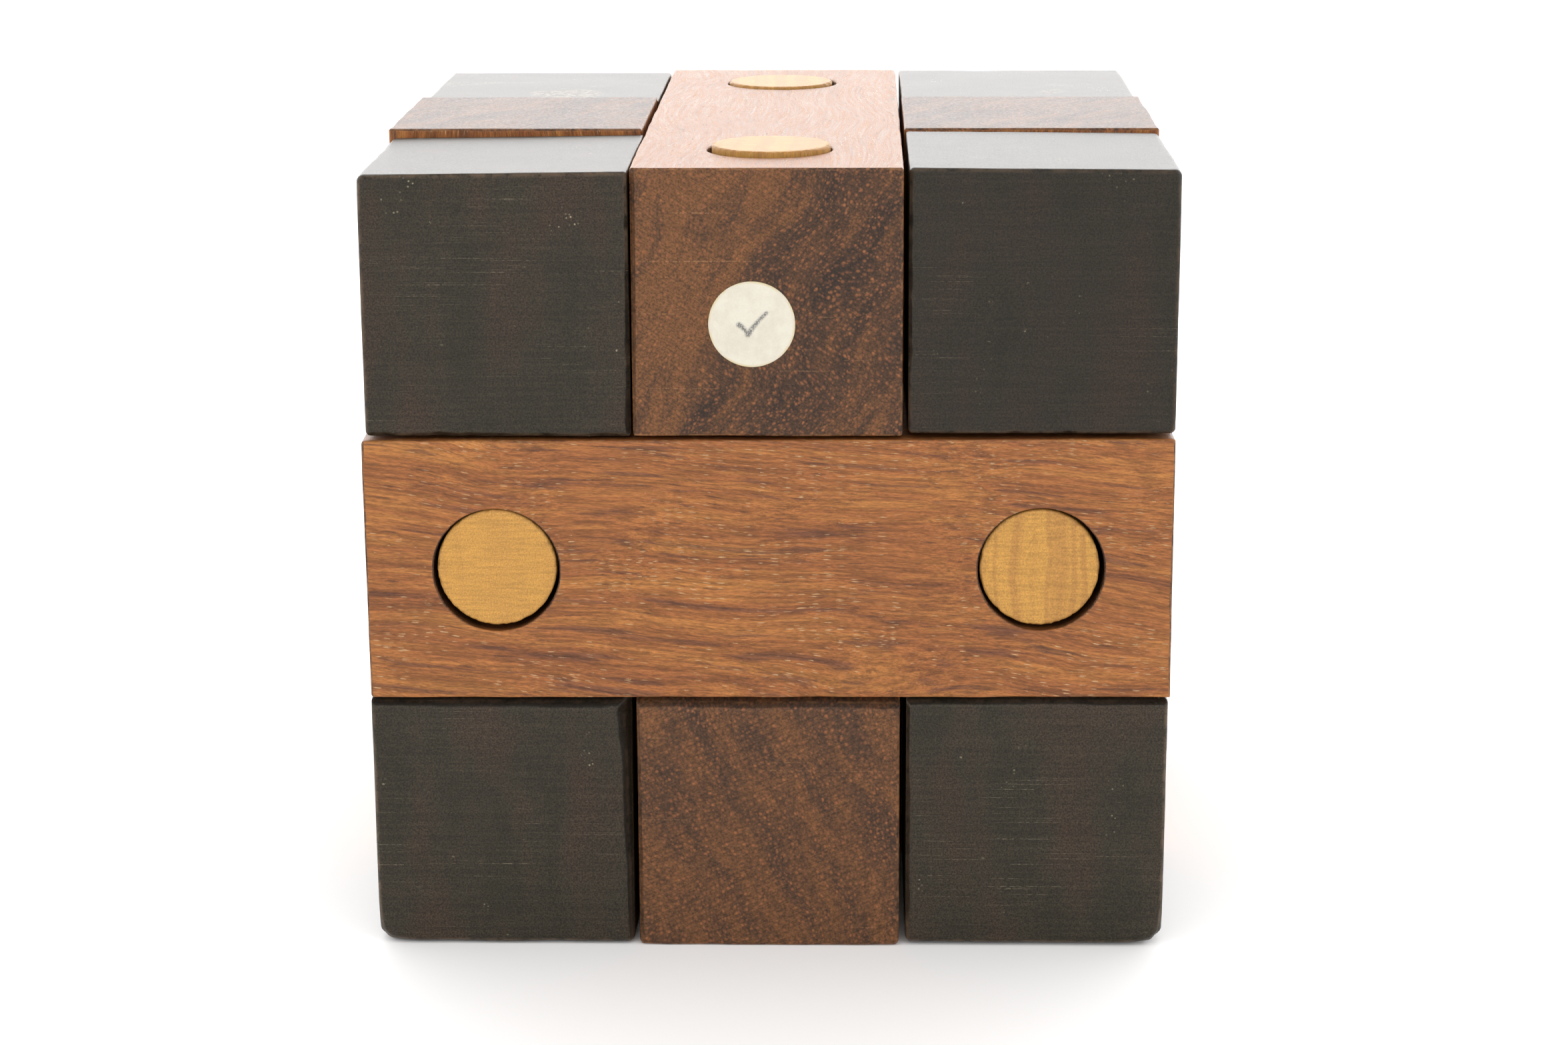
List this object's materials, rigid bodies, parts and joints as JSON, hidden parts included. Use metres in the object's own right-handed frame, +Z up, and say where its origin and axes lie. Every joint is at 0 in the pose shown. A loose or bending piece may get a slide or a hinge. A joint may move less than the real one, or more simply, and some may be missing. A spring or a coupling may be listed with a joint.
{
  "type": "wooden puzzle cube",
  "caption": "Take-apart wooden puzzle cube: crossed square bars locked by loose round pins, with dark corner blocks and a small round paper label.",
  "frame": {"origin": "centre of the footprint, on the surface that the cube stands on", "axes": "+Z up through the upright pins; +X to the right along the front bar; +Y to the back, so -Y is the front, which shows the label, the front bar and the ends of the two long pins"},
  "size_m": [0.0754, 0.0754, 0.0756],
  "materials": {
    "rosewood": "satin",
    "ebony": "satin",
    "boxwood": "satin",
    "label_paper": "matte"
  },
  "bodies": {
    "cube": {"front_bar": "rosewood", "back_bar": "rosewood", "top_bar": "rosewood", "bottom_bar": "rosewood", "left_bar": "rosewood", "right_bar": "rosewood", "corner_block_front_top_left": "ebony", "corner_block_front_top_right": "ebony", "corner_block_front_bottom_left": "ebony", "corner_block_front_bottom_right": "ebony", "corner_block_back_top_left": "ebony", "corner_block_back_top_right": "ebony", "corner_block_back_bottom_left": "ebony", "corner_block_back_bottom_right": "ebony", "paper_label": "label_paper"},
    "left_long_pin": {"left_long_pin": "boxwood"},
    "right_long_pin": {"right_long_pin": "boxwood"},
    "top_cross_pin": {"top_cross_pin": "boxwood"},
    "bottom_cross_pin": {"bottom_cross_pin": "boxwood"},
    "front_upright_pin": {"front_upright_pin": "boxwood"},
    "back_upright_pin": {"back_upright_pin": "boxwood"}
  },
  "joints": [
    {"name": "left_long_pin_slide", "type": "slide", "parent": "cube", "child": "left_long_pin", "axis": [0, 1, 0], "range_m": [-0.078, 0.078]},
    {"name": "right_long_pin_slide", "type": "slide", "parent": "cube", "child": "right_long_pin", "axis": [0, 1, 0], "range_m": [-0.078, 0.078]},
    {"name": "top_cross_pin_slide", "type": "slide", "parent": "cube", "child": "top_cross_pin", "axis": [1, 0, 0], "range_m": [-0.078, 0.078]},
    {"name": "bottom_cross_pin_slide", "type": "slide", "parent": "cube", "child": "bottom_cross_pin", "axis": [1, 0, 0], "range_m": [-0.078, 0.078]},
    {"name": "front_upright_pin_slide", "type": "slide", "parent": "cube", "child": "front_upright_pin", "axis": [0, 0, 1], "range_m": [0, 0.078]},
    {"name": "back_upright_pin_slide", "type": "slide", "parent": "cube", "child": "back_upright_pin", "axis": [0, 0, 1], "range_m": [0, 0.078]}
  ]
}
